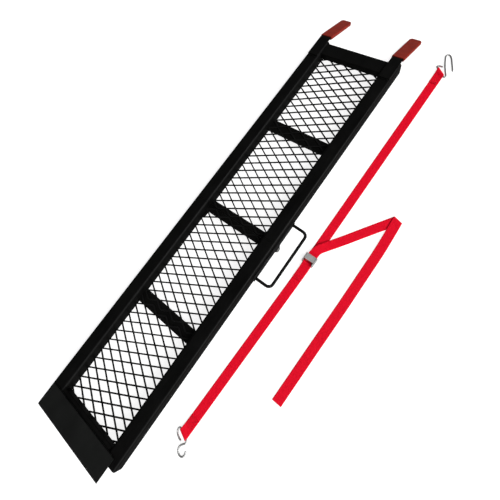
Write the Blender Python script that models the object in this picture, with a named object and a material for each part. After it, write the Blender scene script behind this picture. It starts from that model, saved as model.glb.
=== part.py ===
"""Folding loading ramp with its tie-down strap laid out beside it.

Two welded half frames of square steel tube carry expanded-metal treads and fold
underside to underside about two pivot bolts under the middle rung. An approach
plate is lapped on the foot end, two coated steel fingers reach down onto the
tailgate at the head end, and a rod handle stands out from the right rail.

The build frame has x across the ramp from its centre line, y along it from the
fold line and z up from the ground. The world origin is under the middle of the
ramp's bounding box, so everything hangs from one empty that carries that shift.
"""

import math

import bmesh
import bpy
from mathutils import Matrix, Vector

for item in list(bpy.data.objects):
    bpy.data.objects.remove(item, do_unlink=True)

MM = 0.001
GAP = 0.3 * MM

# Frame
RAMP_WIDTH = 305 * MM
HALF_LENGTH = 712 * MM
RAIL = 44.5 * MM
RAIL_CORNER = 7 * MM
TUBE_WALL = 2 * MM
RAIL_Z = 14 * MM
JOINT_GAP = 1 * MM
RAIL_TOP = RAIL_Z + RAIL
RAIL_X = (RAMP_WIDTH - RAIL) / 2
INNER_X = RAMP_WIDTH / 2 - RAIL
RUNG_PITCH = 349.5 * MM
RUNG_WIDTH = 42 * MM
RUNG_HEIGHT = 13 * MM
RUNG_Z = 18 * MM
FOOT_BAR_WIDTH = 34 * MM
HEAD_BAR_WIDTH = 50 * MM
END_BAR_HEIGHT = 24 * MM
FOOT_BAR_Y = -694.5 * MM
HEAD_BAR_Y = 682 * MM

# Expanded-metal tread
TREAD_THICKNESS = 2.6 * MM
TREAD_Z = RUNG_Z + RUNG_HEIGHT + GAP
TREAD_COLUMNS = 8
DIAMOND_HALF_LENGTH = 15.8 * MM
STRAND_HALF = 2.1 * MM

# Fold
AXIS_Z = 8.5 * MM
LUG_RADIUS = 8.5 * MM
LUG_THICKNESS = 4 * MM
BOLT_RADIUS = 4 * MM
HOLE_RADIUS = 4.4 * MM
LUG_LENGTH = 45 * MM
SIDE_PLATE = 3 * MM
HEX_RADIUS = 7.4 * MM
HEAD_RADIUS = 8 * MM
HEAD_HEIGHT = 2.2 * MM
NUT_HEIGHT = 7 * MM
WASHER = 1.6 * MM

# Approach plate
PLATE_TIP_Y = -759.5 * MM
PLATE_BACK_Y = -690 * MM
PLATE_LEFT_X = -146.5 * MM
PLATE_RIGHT_X = 132 * MM
PLATE_THICKNESS = 4 * MM

# Fingers
FINGER_WIDTH = 36 * MM
FINGER_THICKNESS = 6 * MM
FINGER_ROOT_Y = 640 * MM
FINGER_BEND_Y = 722 * MM
FINGER_ANGLE = math.radians(21)
SLEEVE_WALL = 2.3 * MM
SLEEVE_START = 8 * MM
COAT_EASE = 2 * MM
COAT_LIP = 0.96
COAT_NOSE = 0.7

# Handle
HANDLE_HIGH_Y = 82 * MM
HANDLE_LOW_Y = -108 * MM
HANDLE_OUT_X = 204.5 * MM
HANDLE_ROD = 4.5 * MM
HANDLE_ROOT_Z = 33 * MM
HANDLE_OUT_Z = 24 * MM
HANDLE_BEND = 14 * MM

# Tie-down strap
WEB_WIDTH = 28 * MM
WEB_THICKNESS = 1.6 * MM
WEB_Z = 1.1 * MM
WIRE = 2.5 * MM
HOOK_BAR_Z = 4.8 * MM
BUCKLE_SHEET = 1.8 * MM
BUCKLE_INNER = 31 * MM
BUCKLE_LENGTH = 28 * MM
BUCKLE_HEIGHT = 17 * MM

# World shift that puts the origin under the middle of the ramp's box
FINGER_REACH_Z = RAIL_TOP + GAP + FINGER_THICKNESS / 2
FINGER_HALF = FINGER_THICKNESS / 2 + SLEEVE_WALL + GAP
FINGER_DROP = FINGER_REACH_Z - COAT_LIP * FINGER_HALF * math.cos(FINGER_ANGLE)
FINGER_LENGTH = FINGER_DROP / math.sin(FINGER_ANGLE) + COAT_EASE
HEAD_TIP_Y = FINGER_BEND_Y + FINGER_LENGTH * math.cos(FINGER_ANGLE)
HEAD_TIP_Y += COAT_NOSE * FINGER_HALF * math.sin(FINGER_ANGLE)
LEFT_EDGE_X = -RAMP_WIDTH / 2 - GAP - LUG_THICKNESS - HEAD_HEIGHT
RIGHT_EDGE_X = HANDLE_OUT_X + HANDLE_ROD
SHIFT = Vector((-(LEFT_EDGE_X + RIGHT_EDGE_X) / 2, -(PLATE_TIP_Y + HEAD_TIP_Y) / 2, 0))


def material(name, colour, roughness, metallic):
    made = bpy.data.materials.new(name)
    made.use_nodes = True
    shader = made.node_tree.nodes["Principled BSDF"]
    shader.inputs["Base Color"].default_value = (*colour, 1)
    shader.inputs["Roughness"].default_value = roughness
    shader.inputs["Metallic"].default_value = metallic
    return made


BLACK = (0.012, 0.012, 0.012)
RED = (0.62, 0.02, 0.03)


def empty(name, where, parent=None):
    made = bpy.data.objects.new(name, None)
    bpy.context.scene.collection.objects.link(made)
    made.parent = parent
    made.location = where
    return made


def node(name, bm, where, parent, colour=BLACK, roughness=0.4, metallic=0.0, smooth=True):
    """One named solid, modelled round its own origin and placed under its parent."""
    bmesh.ops.recalc_face_normals(bm, faces=bm.faces)
    mesh = bpy.data.meshes.new(name)
    bm.to_mesh(mesh)
    bm.free()
    mesh.materials.append(material(name, colour, roughness, metallic))
    if smooth:
        mesh.shade_smooth()
        mesh.set_sharp_from_angle(angle=math.radians(35))
    made = bpy.data.objects.new(name, mesh)
    bpy.context.scene.collection.objects.link(made)
    made.parent = parent
    made.location = Vector(where) - offset_of(parent)
    return made


def offset_of(parent):
    """Where a parent empty stands in the build frame."""
    total = Vector((0, 0, 0))
    while parent is not None and parent.parent is not None:
        total += parent.location
        parent = parent.parent
    return total


def rounded_rectangle(width, height, radius, steps):
    """Outline points, anticlockwise, of a rectangle about the origin."""
    points = []
    for corner, (sx, sy) in enumerate(((1, 1), (-1, 1), (-1, -1), (1, -1))):
        cx = sx * (width / 2 - radius)
        cy = sy * (height / 2 - radius)
        for step in range(steps + 1):
            turn = math.radians(90) * (corner + step / steps)
            points.append((cx + radius * math.cos(turn), cy + radius * math.sin(turn)))
    return points


def circle(radius, sides, centre=(0, 0), start=0.0):
    return [
        (
            centre[0] + radius * math.cos(start + math.tau * k / sides),
            centre[1] + radius * math.sin(start + math.tau * k / sides),
        )
        for k in range(sides)
    ]


def hexagon(radius):
    """Six corners at the radius with the middle of each side between them."""
    points = []
    for k in range(12):
        reach = radius if k % 2 == 0 else radius * math.cos(math.radians(30))
        turn = math.radians(30 * k)
        points.append((reach * math.cos(turn), reach * math.sin(turn)))
    return points


# How an outline's (a, b) and the length along it lie in x, y and z
ALONG = {
    "x": lambda a, b, s: (s, a, b),
    "y": lambda a, b, s: (a, s, b),
    "z": lambda a, b, s: (a, b, s),
}


def ring(bm, outline, axis, at):
    return [bm.verts.new(ALONG[axis](a, b, at)) for a, b in outline]


def bridge(bm, first, second):
    count = len(first)
    for k in range(count):
        following = (k + 1) % count
        bm.faces.new((first[k], first[following], second[following], second[k]))


def bar(outline, axis, length):
    """A solid bar of one outline, centred on the origin."""
    bm = bmesh.new()
    low = ring(bm, outline, axis, -length / 2)
    high = ring(bm, outline, axis, length / 2)
    bridge(bm, low, high)
    bm.faces.new(low)
    bm.faces.new(high)
    return bm


def hollow(outer, inner, axis, length):
    """A tube that is open at both ends; both outlines have as many points."""
    bm = bmesh.new()
    low_out = ring(bm, outer, axis, -length / 2)
    high_out = ring(bm, outer, axis, length / 2)
    low_in = ring(bm, inner, axis, -length / 2)
    high_in = ring(bm, inner, axis, length / 2)
    bridge(bm, low_out, high_out)
    bridge(bm, low_in, high_in)
    bridge(bm, low_out, low_in)
    bridge(bm, high_out, high_in)
    return bm


def box_tube(width, height, corner, wall, axis, length, steps=3):
    inner = rounded_rectangle(width - 2 * wall, height - 2 * wall, max(corner - wall, 0.3 * MM), steps)
    return hollow(rounded_rectangle(width, height, corner, steps), inner, axis, length)


def plate_with_hole(outline, hole, axis, thickness):
    """A flat plate, centred on its own plane, with one round hole through it."""
    bm = bmesh.new()
    sides = []
    for at in (-thickness / 2, thickness / 2):
        outer = ring(bm, outline, axis, at)
        inner = ring(bm, hole, axis, at)
        edges = [bm.edges.new((o[k], o[(k + 1) % len(o)])) for o in (outer, inner) for k in range(len(o))]
        bmesh.ops.triangle_fill(bm, use_beauty=True, edges=edges)
        sides.append((outer, inner))
    bridge(bm, sides[0][0], sides[1][0])
    bridge(bm, sides[0][1], sides[1][1])
    return bm


def smooth_line(points, per_span):
    """Points of a Catmull-Rom curve through the given ones."""
    guide = [2 * points[0] - points[1], *points, 2 * points[-1] - points[-2]]
    line = []
    for k in range(1, len(guide) - 2):
        a, b, c, d = guide[k - 1 : k + 3]
        for step in range(per_span):
            t = step / per_span
            line.append(
                0.5
                * (
                    2 * b
                    + (c - a) * t
                    + (2 * a - 5 * b + 4 * c - d) * t**2
                    + (3 * b - a - 3 * c + d) * t**3
                )
            )
    line.append(points[-1].copy())
    return line


def rod(line, radius, sides, upright):
    """A round rod along a line; upright is a direction the line never runs along."""
    bm = bmesh.new()
    rings = []
    for k, point in enumerate(line):
        before = line[max(k - 1, 0)]
        after = line[min(k + 1, len(line) - 1)]
        forward = (after - before).normalized()
        across = forward.cross(upright).normalized()
        lift = across.cross(forward)
        rings.append(
            [
                bm.verts.new(point + radius * (math.cos(turn) * across + math.sin(turn) * lift))
                for turn in (math.tau * s / sides for s in range(sides))
            ]
        )
    for first, second in zip(rings, rings[1:]):
        bridge(bm, first, second)
    bm.faces.new(rings[0])
    bm.faces.new(rings[-1])
    return bm


def expanded_metal(columns, rows, step_x, step_y, strand_half, thickness):
    """A flattened expanded-metal sheet with its lower left corner at the origin.

    The bonds lie on a chequered grid and the strands run diagonally between them,
    so each diamond is two grid steps long and two wide.
    """
    bm = bmesh.new()
    slant = math.hypot(step_x, step_y)
    reach = {
        "right": Vector((strand_half * slant / step_y, 0, 0)),
        "left": Vector((-strand_half * slant / step_y, 0, 0)),
        "up": Vector((0, strand_half * slant / step_x, 0)),
        "down": Vector((0, -strand_half * slant / step_x, 0)),
    }
    corners = {}

    def is_bond(i, j):
        return (i + j) % 2 == 1 and 0 <= i <= columns and 0 <= j <= rows

    def corner(i, j, side):
        outside = (
            (side == "left" and i == 0)
            or (side == "right" and i == columns)
            or (side == "down" and j == 0)
            or (side == "up" and j == rows)
        )
        shift = Vector((0, 0, 0)) if outside else reach[side]
        key = (i, j, "middle" if outside else side)
        if key not in corners:
            corners[key] = bm.verts.new(Vector((i * step_x, j * step_y, 0)) + shift)
        return corners[key]

    for i in range(columns + 1):
        for j in range(rows + 1):
            if not is_bond(i, j):
                continue
            around = [corner(i, j, side) for side in ("right", "up", "left", "down")]
            shape = list(dict.fromkeys(around))
            on_side = i in (0, columns)
            on_end = j in (0, rows)
            if on_side != on_end:
                middle = corners[(i, j, "middle")]
                shape.remove(middle)
                bm.verts.remove(middle)
                del corners[(i, j, "middle")]
            bm.faces.new(shape)
            if is_bond(i + 1, j + 1):
                bm.faces.new(
                    (
                        corner(i, j, "right"),
                        corner(i + 1, j + 1, "down"),
                        corner(i + 1, j + 1, "left"),
                        corner(i, j, "up"),
                    )
                )
            if is_bond(i - 1, j + 1):
                bm.faces.new(
                    (
                        corner(i, j, "up"),
                        corner(i - 1, j + 1, "right"),
                        corner(i - 1, j + 1, "down"),
                        corner(i, j, "left"),
                    )
                )
    grown = bmesh.ops.extrude_face_region(bm, geom=bm.faces[:])["geom"]
    risen = [g for g in grown if isinstance(g, bmesh.types.BMVert)]
    bmesh.ops.translate(bm, verts=risen, vec=(0, 0, thickness))
    return bm


def ribbon(rows, thickness):
    """Webbing through rows of (left edge, right edge) points, offset to a thickness."""
    bm = bmesh.new()
    rings = []
    for k, (left, right) in enumerate(rows):
        before = rows[max(k - 1, 0)]
        after = rows[min(k + 1, len(rows) - 1)]
        forward = ((after[0] + after[1]) - (before[0] + before[1])).normalized()
        normal = (right - left).normalized().cross(forward).normalized()
        lift = normal * thickness / 2
        rings.append([bm.verts.new(p) for p in (left - lift, right - lift, right + lift, left + lift)])
    for first, second in zip(rings, rings[1:]):
        bridge(bm, first, second)
    bm.faces.new(rings[0])
    bm.faces.new(rings[-1])
    return bm


root = empty("ramp", SHIFT)
fold_axis = empty("fold_axis", (0, 0, AXIS_Z), root)

# ---------------------------------------------------------------- half frames

HALF = {"lower": (root, -1), "upper": (fold_axis, 1)}
rail_length = HALF_LENGTH - JOINT_GAP / 2
rail_middle = (HALF_LENGTH + JOINT_GAP / 2) / 2

for half, (parent, end) in HALF.items():
    for side, hand in (("left", -1), ("right", 1)):
        node(
            f"rail_{half}_{side}",
            box_tube(RAIL, RAIL, RAIL_CORNER, TUBE_WALL, "y", rail_length, steps=4),
            (hand * RAIL_X, end * rail_middle, RAIL_Z + RAIL / 2),
            parent,
        )
        plug = bmesh.new()
        flange = rounded_rectangle(RAIL - 1 * MM, RAIL - 1 * MM, RAIL_CORNER - 0.5 * MM, 4)
        stem = rounded_rectangle(
            RAIL - 2 * TUBE_WALL - 2 * GAP,
            RAIL - 2 * TUBE_WALL - 2 * GAP,
            RAIL_CORNER - TUBE_WALL - GAP,
            4,
        )
        stations = (
            (stem, -14 * MM),
            (stem, GAP),
            (flange, GAP),
            (flange, 2.2 * MM),
            ([(a * 0.88, b * 0.88) for a, b in flange], 3.6 * MM),
        )
        rings = [ring(plug, outline, "y", end * at) for outline, at in stations]
        for first, second in zip(rings, rings[1:]):
            bridge(plug, first, second)
        plug.faces.new(rings[0])
        plug.faces.new(rings[-1])
        node(
            f"end_plug_{half}_{side}",
            plug,
            (hand * RAIL_X, end * HALF_LENGTH, RAIL_Z + RAIL / 2),
            parent,
            roughness=0.6,
        )

    node(
        f"rung_{half}",
        box_tube(RUNG_WIDTH, RUNG_HEIGHT, 2 * MM, 1.5 * MM, "x", 2 * (INNER_X - GAP), steps=2),
        (0, end * RUNG_PITCH, RUNG_Z + RUNG_HEIGHT / 2),
        parent,
    )
    # The middle rung is split along the fold, and one end of each part meets a lug.
    short = INNER_X - 2 * GAP - LUG_THICKNESS
    full = INNER_X - GAP
    slim = (RUNG_WIDTH - JOINT_GAP) / 2
    node(
        f"middle_rung_{half}",
        box_tube(slim, RUNG_HEIGHT, 2 * MM, 1.5 * MM, "x", short + full, steps=2),
        (-end * (full - short) / 2, end * (JOINT_GAP + slim) / 2, RUNG_Z + RUNG_HEIGHT / 2),
        parent,
    )

    bar_y = FOOT_BAR_Y if half == "lower" else HEAD_BAR_Y
    bar_width = FOOT_BAR_WIDTH if half == "lower" else HEAD_BAR_WIDTH
    node(
        "foot_bar" if half == "lower" else "head_bar",
        box_tube(bar_width, END_BAR_HEIGHT, 3 * MM, TUBE_WALL, "x", 2 * (INNER_X - GAP), steps=2),
        (0, bar_y, RAIL_TOP - END_BAR_HEIGHT / 2),
        parent,
    )

    # Each half has an outer and an inner tread sheet that meet over its rung.
    bar_edge = abs(bar_y) - bar_width / 2 + 10 * MM
    sheets = {
        "outer": (RUNG_PITCH + 1 * MM, bar_edge),
        "inner": (2 * MM, RUNG_PITCH - 1 * MM),
    }
    for place, (near, far) in sheets.items():
        span = far - near
        rows = round(span / DIAMOND_HALF_LENGTH)
        step_x = 2 * (INNER_X - 0.5 * MM) / TREAD_COLUMNS
        low_y = near if end > 0 else -far
        node(
            f"tread_{half}_{place}",
            expanded_metal(TREAD_COLUMNS, rows, step_x, span / rows, STRAND_HALF, TREAD_THICKNESS),
            (-TREAD_COLUMNS * step_x / 2, low_y, TREAD_Z),
            parent,
            roughness=0.45,
            smooth=False,
        )

# -------------------------------------------------------------- approach plate

plate_run = (PLATE_BACK_Y - PLATE_TIP_Y) / 2
profile = (
    (-plate_run, 0),
    (plate_run, 0),
    (plate_run, PLATE_THICKNESS),
    (-plate_run + 5 * MM, PLATE_THICKNESS),
    (-plate_run, 1.4 * MM),
)
node(
    "approach_plate",
    bar([(a, b - PLATE_THICKNESS / 2) for a, b in profile], "x", PLATE_RIGHT_X - PLATE_LEFT_X),
    (
        (PLATE_LEFT_X + PLATE_RIGHT_X) / 2,
        (PLATE_BACK_Y + PLATE_TIP_Y) / 2,
        RAIL_TOP + GAP + PLATE_THICKNESS / 2,
    ),
    root,
    smooth=False,
)

# --------------------------------------------------------------------- fingers


def finger_station(distance, offset):
    """(y, z) of a point beside the finger's bent centre line, before or past the bend."""
    if distance <= 0:
        return FINGER_BEND_Y + distance, FINGER_REACH_Z + offset
    return (
        FINGER_BEND_Y + distance * math.cos(FINGER_ANGLE) + offset * math.sin(FINGER_ANGLE),
        FINGER_REACH_Z - distance * math.sin(FINGER_ANGLE) + offset * math.cos(FINGER_ANGLE),
    )


def finger_ring(bm, distance, width, thickness, corner, cut=0.0):
    points = []
    for a, b in rounded_rectangle(width, thickness, corner, 2):
        y, z = finger_station(distance, b)
        points.append(bm.verts.new((a * (1 - cut), y, z)))
    return points


for side, hand in (("left", -1), ("right", 1)):
    steel = bmesh.new()
    body_end = FINGER_LENGTH - SLEEVE_WALL - GAP
    run = [FINGER_ROOT_Y - FINGER_BEND_Y, -3 * MM, 3 * MM, body_end - 8 * MM, body_end]
    cuts = [0, 0, 0, 0, 0.25]
    rings = [
        finger_ring(steel, at, FINGER_WIDTH, FINGER_THICKNESS, 1 * MM, cut) for at, cut in zip(run, cuts)
    ]
    for first, second in zip(rings, rings[1:]):
        bridge(steel, first, second)
    steel.faces.new(rings[0])
    steel.faces.new(rings[-1])
    node(f"finger_{side}", steel, (hand * RAIL_X, 0, 0), fold_axis)

    coat = bmesh.new()
    outer_width = FINGER_WIDTH + 2 * (SLEEVE_WALL + GAP)
    outer_thick = FINGER_THICKNESS + 2 * (SLEEVE_WALL + GAP)
    slot_width = FINGER_WIDTH + 2 * GAP
    slot_thick = FINGER_THICKNESS + 2 * GAP
    shape = (
        (SLEEVE_START, outer_width, outer_thick, 2.4 * MM, 0),
        (FINGER_LENGTH - 9 * MM, outer_width, outer_thick, 2.4 * MM, 0),
        (FINGER_LENGTH - COAT_EASE, outer_width, outer_thick * COAT_LIP, 2.4 * MM, 0.2),
        (FINGER_LENGTH, outer_width, outer_thick * COAT_NOSE, 2.4 * MM, 0.27),
    )
    rings = [finger_ring(coat, *station) for station in shape]
    for first, second in zip(rings, rings[1:]):
        bridge(coat, first, second)
    coat.faces.new(rings[-1])
    slot = [
        finger_ring(coat, SLEEVE_START, slot_width, slot_thick, 1.2 * MM),
        finger_ring(coat, body_end - 8 * MM, slot_width, slot_thick, 1.2 * MM),
        finger_ring(coat, body_end + GAP, slot_width, slot_thick, 1.2 * MM, 0.22),
    ]
    for first, second in zip(slot, slot[1:]):
        bridge(coat, first, second)
    coat.faces.new(slot[-1])
    bridge(coat, rings[0], slot[0])
    node(f"finger_coat_{side}", coat, (hand * RAIL_X, 0, 0), fold_axis, (0.33, 0.03, 0.02), 0.5)

# ------------------------------------------------------------- fold and handle


def lug_outline(low_y, high_y, low_z, high_z):
    """A plate on a rail's side whose tab reaches down round the pivot at the origin."""
    tab_left = max(low_y, -13 * MM)
    tab_right = min(high_y, 13 * MM)
    points = [(high_y, high_z), (low_y, high_z), (low_y, low_z), (tab_left, low_z)]
    points += [
        (LUG_RADIUS * math.cos(turn), LUG_RADIUS * math.sin(turn))
        for turn in (math.radians(180 + 22.5 * k) for k in range(9))
    ]
    points += [(tab_right, low_z), (high_y, low_z)]
    return list(dict.fromkeys(points))


def lug(name, low_y, high_y, low_z, high_z, middle_x, thickness, parent):
    outline = lug_outline(low_y, high_y, low_z - AXIS_Z, high_z - AXIS_Z)
    bm = plate_with_hole(outline, circle(HOLE_RADIUS, 16), "x", thickness)
    return node(name, bm, (middle_x, 0, AXIS_Z), parent, smooth=False)


lug_top = RUNG_Z + RUNG_HEIGHT - GAP
inner_lug_x = INNER_X - GAP - LUG_THICKNESS / 2
outer_lug_x = RAMP_WIDTH / 2 + GAP + LUG_THICKNESS / 2
plate_x = RAMP_WIDTH / 2 + GAP + SIDE_PLATE / 2
plate_low = RAIL_Z + 8 * MM
plate_high = RAIL_Z + 30 * MM
lug("fold_lug_lower", -LUG_LENGTH, -2 * MM, AXIS_Z + 9 * MM, lug_top, -inner_lug_x, LUG_THICKNESS, root)
lug("fold_lug_upper", 2 * MM, LUG_LENGTH, AXIS_Z + 9 * MM, lug_top, inner_lug_x, LUG_THICKNESS, fold_axis)
lug("fold_cheek_upper", -12 * MM, 30 * MM, plate_low, plate_high, -outer_lug_x, LUG_THICKNESS, fold_axis)
lug("handle_plate", -118 * MM, 92 * MM, plate_low, plate_high, plate_x, SIDE_PLATE, root)

for side, hand, outer_face in (
    ("left", -1, RAMP_WIDTH / 2 + GAP + LUG_THICKNESS),
    ("right", 1, RAMP_WIDTH / 2 + GAP + SIDE_PLATE),
):
    inner_face = INNER_X - GAP - LUG_THICKNESS
    nut_low = inner_face - GAP - WASHER - GAP - NUT_HEIGHT
    shank_low = nut_low - 2 * MM
    bolt = bmesh.new()
    rim = circle(HEAD_RADIUS, 16)
    crown = circle(HEAD_RADIUS * 0.86, 16)
    round_ring = circle(BOLT_RADIUS, 12)
    shank = [
        ring(bolt, [(a * 0.8, b * 0.8) for a, b in round_ring], "x", hand * shank_low),
        ring(bolt, round_ring, "x", hand * (shank_low + 1 * MM)),
        ring(bolt, round_ring, "x", hand * (outer_face + GAP)),
    ]
    head = [
        ring(bolt, rim, "x", hand * (outer_face + GAP)),
        ring(bolt, rim, "x", hand * (outer_face + HEAD_HEIGHT - 0.7 * MM)),
        ring(bolt, crown, "x", hand * (outer_face + HEAD_HEIGHT)),
    ]
    for rings in (shank, head):
        for first, second in zip(rings, rings[1:]):
            bridge(bolt, first, second)
    bolt.faces.new(shank[0])
    bolt.faces.new(head[-1])
    edges = [
        bolt.edges.get((loop[k], loop[(k + 1) % len(loop)]))
        for loop in (shank[-1], head[0])
        for k in range(len(loop))
    ]
    bmesh.ops.triangle_fill(bolt, use_beauty=True, edges=edges)
    node(f"pivot_bolt_{side}", bolt, (0, 0, AXIS_Z), root, (0.55, 0.55, 0.54), 0.35, 1.0)
    node(
        f"pivot_washer_{side}",
        hollow(circle(7.9 * MM, 20), circle(4.4 * MM, 20), "x", WASHER),
        (hand * (inner_face - GAP - WASHER / 2), 0, AXIS_Z),
        root,
        (0.55, 0.55, 0.54),
        0.35,
        1.0,
    )
    node(
        f"pivot_nut_{side}",
        hollow(
            hexagon(HEX_RADIUS),
            circle(4.3 * MM, 12),
            "x",
            NUT_HEIGHT,
        ),
        (hand * (nut_low + NUT_HEIGHT / 2), 0, AXIS_Z),
        root,
        (0.55, 0.55, 0.54),
        0.35,
        1.0,
    )

root_x = RAMP_WIDTH / 2 + GAP + SIDE_PLATE + GAP
level_x = root_x + 6 * MM
slope = (HANDLE_OUT_Z - HANDLE_ROOT_Z) / (HANDLE_OUT_X - level_x)


def handle_point(x, y):
    """The rod leaves its plate square on, then slopes down towards the ground."""
    return Vector((x, y, HANDLE_ROOT_Z + max(x - level_x, 0) * slope))


handle_line = [handle_point(root_x, HANDLE_HIGH_Y), handle_point(level_x, HANDLE_HIGH_Y)]
for centre_y, first_turn in ((HANDLE_HIGH_Y - HANDLE_BEND, 90), (HANDLE_LOW_Y + HANDLE_BEND, 0)):
    for step in range(7):
        turn = math.radians(first_turn - 15 * step)
        handle_line.append(
            handle_point(
                HANDLE_OUT_X - HANDLE_BEND + HANDLE_BEND * math.cos(turn),
                centre_y + HANDLE_BEND * math.sin(turn),
            )
        )
handle_line += [handle_point(level_x, HANDLE_LOW_Y), handle_point(root_x, HANDLE_LOW_Y)]
node("handle", rod(handle_line, HANDLE_ROD, 12, Vector((0, 0, 1))), (0, 0, 0), root)

# -------------------------------------------------------------- tie-down strap

LOW_BAR = Vector((230.6 * MM, -548.5 * MM, 0))
BUCKLE = Vector((248.3 * MM, 24 * MM, 0))
HIGH_BAR = Vector((256.6 * MM, 777 * MM, 0))
TAIL_FOLD = Vector((387.5 * MM, 259 * MM, 0))
TAIL_END = Vector((379.5 * MM, -335 * MM, 0))
LOW_SKEW = -0.345
HIGH_SKEW = -0.82
SKEW_FADE = 60 * MM
END_BAR_V = -9.5 * MM
MIDDLE_BAR_V = 0.5 * MM
CAM_PIN_V = 10 * MM
CAM_PIN_Z = 17 * MM
BAR_RADIUS = 2.5 * MM
BAR_Z = 6.9 * MM
WRAP = BAR_RADIUS + GAP + WEB_THICKNESS / 2
OVERLAP_Z = WEB_Z + WEB_THICKNESS + 0.4 * MM
STEEL = (0.62, 0.62, 0.6)


def heading(start, end):
    return (end - start).normalized()


def rightward(forward):
    return Vector((forward.y, -forward.x, 0))


def run_rows(start, forward, path, skew=0.0):
    """Webbing rows of (left, right) for (distance, height) points along a straight run.

    The loop at the start sits askew on its hook, and that fades out along the run.
    """
    rows = []
    for distance, height in path:
        slant = skew * max(0, 1 - max(distance, 0) / SKEW_FADE)
        half = (rightward(forward) + forward * slant) * WEB_WIDTH / 2
        middle = start + forward * distance + Vector((0, 0, height))
        rows.append((middle - half, middle + half))
    return rows


def wrap(distance, height, reach, radius, first_turn, last_turn, steps=8):
    """(distance, height) points round a bar, turns in degrees from straight ahead."""
    points = []
    for step in range(steps + 1):
        turn = math.radians(first_turn + (last_turn - first_turn) * step / steps)
        points.append((distance + reach * math.cos(turn), height + radius * math.sin(turn)))
    return points


def sewn_start(bar_height, skew):
    """From the sewn end on top of the run, back to a bar at 0 and round behind it."""
    reach = (WRAP - WEB_THICKNESS / 2) * math.hypot(1, skew) + WEB_THICKNESS / 2
    return [
        (48 * MM, OVERLAP_Z),
        (36 * MM, OVERLAP_Z),
        (26 * MM, OVERLAP_Z),
        (16 * MM, OVERLAP_Z + 0.8 * MM),
        (7 * MM, bar_height + 2.6 * MM),
        *wrap(0, bar_height, reach, WRAP, 90, 270),
        (8 * MM, WEB_Z),
        (20 * MM, WEB_Z),
        (34 * MM, WEB_Z),
        (48 * MM, WEB_Z),
        (SKEW_FADE, WEB_Z),
    ]


# The short length runs from the foot hook to the buckle's end bar.
short_run = heading(LOW_BAR, BUCKLE)
short_length = (BUCKLE - LOW_BAR).length + END_BAR_V
short_path = sewn_start(HOOK_BAR_Z, LOW_SKEW)
short_path += [
    (short_length - 24 * MM, WEB_Z),
    (short_length - 10 * MM, BAR_Z - WRAP),
    *wrap(short_length, BAR_Z, WRAP, WRAP, -90, 90),
    (short_length - 8 * MM, BAR_Z + 2.2 * MM),
    (short_length - 24 * MM, OVERLAP_Z + 0.9 * MM),
    (short_length - 34 * MM, OVERLAP_Z),
    (short_length - 56 * MM, OVERLAP_Z),
]
node(
    "web_short",
    ribbon(run_rows(LOW_BAR, short_run, short_path, LOW_SKEW), WEB_THICKNESS),
    (0, 0, 0),
    root,
    RED,
    0.75,
)

# The long length runs from the head hook, under and round the buckle's middle bar,
# back out under the cam and on as the free tail, which is folded over once.
long_run = heading(HIGH_BAR, BUCKLE)
buckle_run = heading(LOW_BAR, BUCKLE)
buckle_right = rightward(buckle_run)
middle_bar = BUCKLE + buckle_run * MIDDLE_BAR_V
long_length = (middle_bar - HIGH_BAR).length
long_path = sewn_start(HOOK_BAR_Z, HIGH_SKEW)
long_path += [
    (long_length - 44 * MM, WEB_Z),
    (long_length - 30 * MM, BAR_Z - WRAP),
    *wrap(long_length, BAR_Z, WRAP + 0.4 * MM, WRAP, -90, 90),
]
long_rows = run_rows(HIGH_BAR, heading(HIGH_BAR, middle_bar), long_path, HIGH_SKEW)

# The tail is given by its middle line in the buckle's frame: right, ahead and up.
leg = heading(BUCKLE + buckle_run * 60 * MM + buckle_right * 14 * MM, TAIL_FOLD)
crease = (leg + heading(TAIL_FOLD, TAIL_END)).normalized()
away = Vector((-crease.y, crease.x, 0))
tail_guide = [
    BUCKLE + buckle_right * sideways * MM + buckle_run * along * MM + Vector((0, 0, height * MM))
    for sideways, along, height in (
        (0, 8, 10.5),
        (0, 24, 10.3),
        (4, 42, 8.2),
        (16, 62, 5.4),
        (32, 86, 4.0),
        (51, 115, 2.2),
    )
]
tail_guide.append(TAIL_FOLD - leg * 110 * MM + Vector((0, 0, WEB_Z)))
tail_guide.append(TAIL_FOLD - leg * 20 * MM + Vector((0, 0, WEB_Z)))
tail_line = smooth_line(tail_guide, 4)
for k in range(len(tail_line)):
    chord = tail_line[min(k + 1, len(tail_line) - 1)] - tail_line[max(k - 1, 0)]
    chord.z = 0
    tail_half = rightward(chord.normalized()) * WEB_WIDTH / 2
    # Seen from above the strip has come back over the bar, so its edges have changed sides.
    long_rows.append((tail_line[k] + tail_half, tail_line[k] - tail_half))

fold_half = crease * WEB_WIDTH / 2 / abs(crease.dot(rightward(leg)))
if fold_half.dot(rightward(leg)) < 0:
    fold_half = -fold_half
if away.dot(leg) < 0:
    away = -away
fold_radius = (OVERLAP_Z - WEB_Z) / 2
for step in range(7):
    turn = math.radians(-90 + 30 * step)
    middle = TAIL_FOLD + away * fold_radius * math.cos(turn)
    middle.z = WEB_Z + fold_radius + fold_radius * math.sin(turn)
    long_rows.append((middle + fold_half, middle - fold_half))
last_leg = heading(TAIL_FOLD, TAIL_END)
last_half = rightward(last_leg) * WEB_WIDTH / 2
last_length = (TAIL_END - TAIL_FOLD).length
for distance, height, bow in (
    (18 * MM, OVERLAP_Z, 1.0),
    (60 * MM, OVERLAP_Z, 3.0),
    (95 * MM, (OVERLAP_Z + WEB_Z) / 2 + 0.4 * MM, 4.3),
    (125 * MM, WEB_Z, 4.6),
    (last_length / 2, WEB_Z, 4.0),
    (last_length * 0.72, WEB_Z, 1.8),
    (last_length, WEB_Z, 0.0),
):
    middle = TAIL_FOLD + last_leg * distance - rightward(last_leg) * bow * MM
    middle.z = height
    long_rows.append((middle - last_half, middle + last_half))
node("web_long", ribbon(long_rows, WEB_THICKNESS), (0, 0, 0), root, RED, 0.75)

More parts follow.
